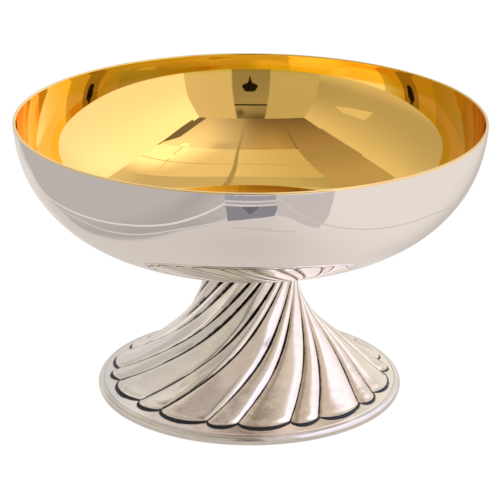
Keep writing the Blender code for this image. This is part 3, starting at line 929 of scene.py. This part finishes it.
panel("tent_right", ((RIGHT_FRONT, FRONT, -40), (RIGHT_BACK, BACK, -40),
                     (RIGHT_BACK, BACK, ROOF), (RIGHT_FRONT, FRONT, ROOF)), (160, 220), right_wall)
panel("tent_left", ((LEFT_FRONT, FRONT, -40), (LEFT_BACK, BACK, -40),
                    (LEFT_BACK, BACK, ROOF), (LEFT_FRONT, FRONT, ROOF)), (120, 160), left_wall)
panel("tent_front", ((LEFT_FRONT, FRONT, -40), (RIGHT_FRONT, FRONT, -40),
                     (RIGHT_FRONT, FRONT, ROOF), (LEFT_FRONT, FRONT, ROOF)), (220, 220), front_wall)
panel("tent_roof", ((LEFT_FRONT, FRONT, ROOF), (RIGHT_FRONT, FRONT, ROOF),
                    (RIGHT_BACK, BACK, ROOF), (LEFT_BACK, BACK, ROOF)), (240, 320), ceiling)
panel("tent_back", ((LEFT_BACK, BACK, -40), (RIGHT_BACK, BACK, -40),
                    (RIGHT_BACK, BACK, ROOF), (LEFT_BACK, BACK, ROOF)), (60, 60), back_wall)
panel("tent_floor", ((-620, -560, -0.5), (620, -560, -0.5),
                     (620, 700, -0.5), (-620, 700, -0.5)), (400, 400), floor_light)

# seams and hems of the tent's floor, mirrored in the bowl's outside
ribbon("floor_hem_left", smooth_line(((-212, 240), (-211, 193), (-200, 160), (-190, 123),
                                      (-173, 100), (-160, 80), (-151, 55), (-135, -5),
                                      (-112, -61), (-77, -133), (-41, -222), (-19, -300))),
       2.3, -0.45, (0.80, 0.735, 0.70))
ribbon("floor_hem_inner", smooth_line(((-135, 36), (-121, 0), (-102, -31), (-83, -72),
                                       (-65, -121), (-28, -169))), 1.3, -0.44, (0.70, 0.64, 0.61))
ribbon("floor_seam_right", smooth_line(((44, -277), (63, -174), (89, -97), (119, -25),
                                        (133, 28), (126, 123), (107, 225))),
       1.4, -0.45, (0.63, 0.58, 0.56))
ribbon("floor_seam_light", smooth_line(((80, -134), (84, -120), (89, -106), (98, -83),
                                        (108, -62), (119, -37))),
       1.0, -0.44, (0.82, 0.765, 0.72))
ribbon("floor_crease_left", ((-20, -148), (0, -146), (22, -142)), 2.2, -0.45,
       (0.575, 0.525, 0.49))
ribbon("floor_crease_right", ((16, -138), (31, -134), (45, -129)), 0.8, -0.45,
       (0.53, 0.485, 0.455))
patch("floor_shade_right", ((159, -227), (128, -190), (108, -167), (93, -148), (82, -138),
                            (67, -125), (61, -133), (56, -146), (50, -161), (44, -174),
                            (34, -180), (40, -214), (52, -273)), -0.46, (0.60, 0.535, 0.522))
ribbon("floor_shade_fold", ((51, -240), (57, -211), (61, -178), (65, -167)), 0.9, -0.45,
       (0.72, 0.655, 0.61))
# the opening that the camera looks through
patch("opening_far", ((-49, -270), (50, -270), (44, -240), (-43, -240)), -0.43,
      (0.36, 0.352, 0.39))
patch("opening_hem_far", ((-44, -240), (46, -241), (43, -233), (-42, -232)), -0.41,
      (0.68, 0.63, 0.62))
patch("opening_fold", ((-42, -232), (43, -233), (42, -224), (-39, -223)), -0.41,
      (0.43, 0.39, 0.39))
patch("opening_hem", ((-40, -223), (42, -224), (41, -217), (-38, -215)), -0.41,
      (0.70, 0.65, 0.62))
patch("opening_near", ((-38, -216), (41, -218), (39, -204), (31, -180), (0, -174), (-26, -164),
                       (-31, -189)), -0.43, (0.262, 0.252, 0.280))
patch("opening_centre", ((-13, -216), (13, -216), (11, -207), (5, -198), (1, -189), (-3, -191),
                         (-5, -200), (-10, -207)), -0.42, (0.155, 0.155, 0.165))
# rods and seams of the roof
patch("roof_edge_shade", ((343, -558), (410, -558), (451, -335), (489, -115), (504, -19),
                          (403, -167), (384, -301)), ROOF - 1.0, (0.20, 0.185, 0.165))
ribbon("roof_rod_centre", smooth_line(((34, -520), (42, -394), (49, -133), (52, 45),
                                       (47, 283), (44, 690))),
       np.interp(np.linspace(0, 1, 51), [0, 0.35, 1], [2.5, 5.5, 7.0]), ROOF - 1.2,
       (0.43, 0.395, 0.34))
ribbon("roof_rod_right", smooth_line(((323, -70), (331, 127), (322, 286), (318, 467))),
       4.5, ROOF - 1.2, (0.86, 0.80, 0.74))
ribbon("roof_rod_left", smooth_line(((-227, -403), (-218, -170), (-209, -23))),
       4.0, ROOF - 1.2, (0.21, 0.195, 0.165))
ribbon("roof_seam", smooth_line(((-202, 236), (0, 217), (217, 219), (411, 204), (543, 198))),
       4.5, ROOF - 1.3, (0.54, 0.51, 0.46))
patch("roof_lamp_near", ((306, -85), (342, -73), (347, -39), (318, -33), (298, -58)),
      ROOF - 1.4, (2.2, 2.0, 1.9))
patch("roof_lamp_far", ((326, 107), (378, 117), (383, 161), (340, 173), (309, 145)),
      ROOF - 1.4, (1.9, 1.75, 1.65))
def on_left_wall(y, z, plane=-498.0, bowl_y=60.0, bowl_z=75.0):
    """Where the line from the bowl to (plane, y, z) meets the slanting left wall."""
    slant = (LEFT_FRONT - LEFT_BACK) / (BACK - FRONT)
    t = ((-LEFT_FRONT - 2.0) + slant * (bowl_y - FRONT)) / (-plane - slant * (y - bowl_y))
    return plane * t, bowl_y + (y - bowl_y) * t, bowl_z + (z - bowl_z) * t


sheet("left_wall_patch",
      [on_left_wall(y, z) for y, z in ((-400, 470), (-300, 499), (-125, 451), (-120, 336),
                                       (-300, 410))],
      [(0, 1, 2, 3, 4)], [(0.80, 0.755, 0.685)] * 5)


def lens_blob():
    """The dark camera in the opening of the tent, as the metal mirrors it."""
    half = ((0, 161), (7, 205), (13, 230), (40, 248), (44, 267), (35, 297), (33, 318), (20, 335))
    ring = [(5 + a, b) for a, b in half] + [(5 - a, b) for a, b in half[:0:-1]]
    patch("tent_camera", [(a, b) for a, b in ring], FRONT + 4.0, (0.012, 0.009, 0.007), axis=1)


lens_blob()


def pale_floor():
    mesh = bpy.data.meshes.new("floor")
    half = 6.0
    mesh.from_pydata([(-half, -half, 0), (half, -half, 0), (half, half, 0), (-half, half, 0)],
                     [], [(0, 1, 2, 3)])
    mat = bpy.data.materials.new("pale_floor")
    mat.use_nodes = True
    tree = mat.node_tree
    tree.nodes.clear()
    out = tree.nodes.new("ShaderNodeOutputMaterial")
    emit = tree.nodes.new("ShaderNodeEmission")
    emit.inputs["Color"].default_value = (1.0, 1.0, 1.0, 1.0)
    emit.inputs["Strength"].default_value = 1.02
    # seen from below the floor is clear, so that the hollow foot can be looked into
    geo = tree.nodes.new("ShaderNodeNewGeometry")
    clear = tree.nodes.new("ShaderNodeBsdfTransparent")
    both = tree.nodes.new("ShaderNodeMixShader")
    tree.links.new(geo.outputs["Backfacing"], both.inputs[0])
    tree.links.new(emit.outputs[0], both.inputs[1])
    tree.links.new(clear.outputs[0], both.inputs[2])
    tree.links.new(both.outputs[0], out.inputs["Surface"])
    mesh.materials.append(mat)
    obj = bpy.data.objects.new("floor", mesh)
    bpy.context.scene.collection.objects.link(obj)
    obj.location.z = -0.0002
    obj.visible_glossy = False
    obj.visible_diffuse = False


pale_floor()

world = bpy.data.worlds.new("studio")
bpy.context.scene.world = world
world.use_nodes = True
background = world.node_tree.nodes["Background"]
background.inputs["Color"].default_value = (1.0, 1.0, 1.0, 1.0)
background.inputs["Strength"].default_value = 1.02

# ---- camera -----------------------------------------------------------------------------------------
PITCH, ROLL = 0.357488, 0.0055
cam_data = bpy.data.cameras.new("camera")
cam_data.sensor_width = 36.0
cam_data.lens = 36.0 * 2214.07 / 500.0
cam_data.clip_start, cam_data.clip_end = 0.01, 50.0
cam = bpy.data.objects.new("camera", cam_data)
bpy.context.scene.collection.objects.link(cam)
forward = Vector((0.0, math.cos(PITCH), -math.sin(PITCH)))
upward = Vector((0.0, math.sin(PITCH), math.cos(PITCH)))
axes = Matrix((Vector((1.0, 0.0, 0.0)), upward, -forward)).transposed()
cam.matrix_world = (Matrix.Translation((0.0, -0.714315, 0.316094))
                    @ axes.to_4x4() @ Matrix.Rotation(ROLL, 4, "Z"))
bpy.context.scene.camera = cam

scene = bpy.context.scene
scene.view_settings.view_transform = "Standard"
scene.view_settings.look = "None"
scene.view_settings.exposure = 0.0
scene.view_settings.gamma = 1.0
scene.cycles.max_bounces = 14
scene.cycles.glossy_bounces = 10
scene.cycles.diffuse_bounces = 2
scene.cycles.use_denoising = True
scene.render.film_transparent = False
